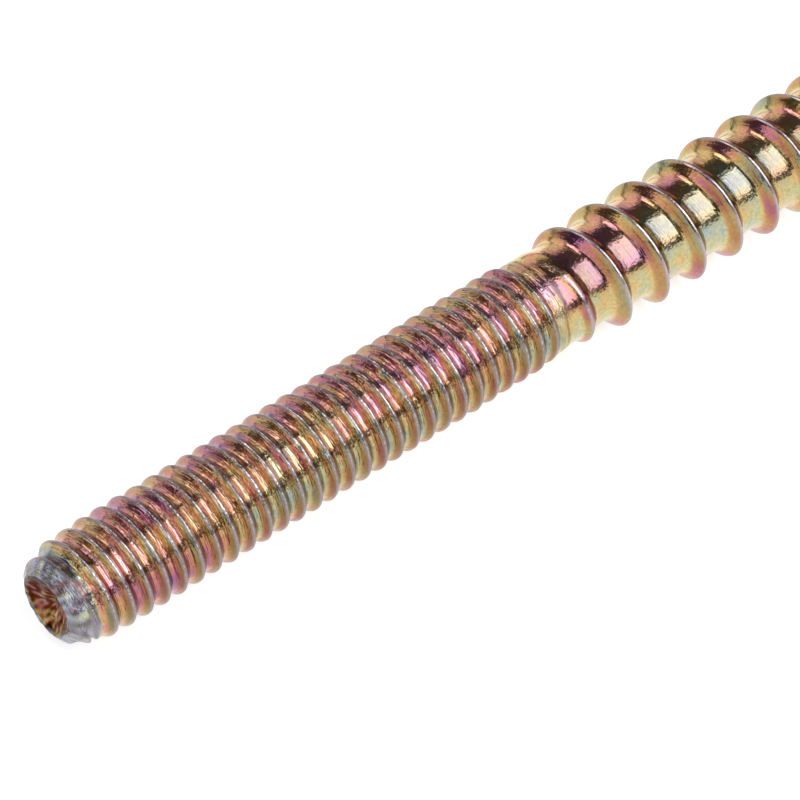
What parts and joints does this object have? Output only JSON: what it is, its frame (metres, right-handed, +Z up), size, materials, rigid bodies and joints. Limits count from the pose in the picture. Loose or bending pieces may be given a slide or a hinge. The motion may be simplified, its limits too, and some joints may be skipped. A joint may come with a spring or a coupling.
{
  "type": "hanger bolt",
  "caption": "Headless stud with a fine machine thread on one end and a coarse wood-screw thread with a gimlet point on the other, plated in iridescent yellow zinc.",
  "frame": {"origin": "on the surface the bolt lies on, below the middle of its length", "axes": "+X along the bolt towards the gimlet point, +Z up from the surface"},
  "size_m": [0.04, 0.0042, 0.0044],
  "materials": {
    "yellow_zinc": "rolled steel, zinc plated and yellow chromated, with an iridescent sheen"
  },
  "bodies": {
    "root": {"hanger_bolt": "yellow_zinc"}
  },
  "joints": []
}
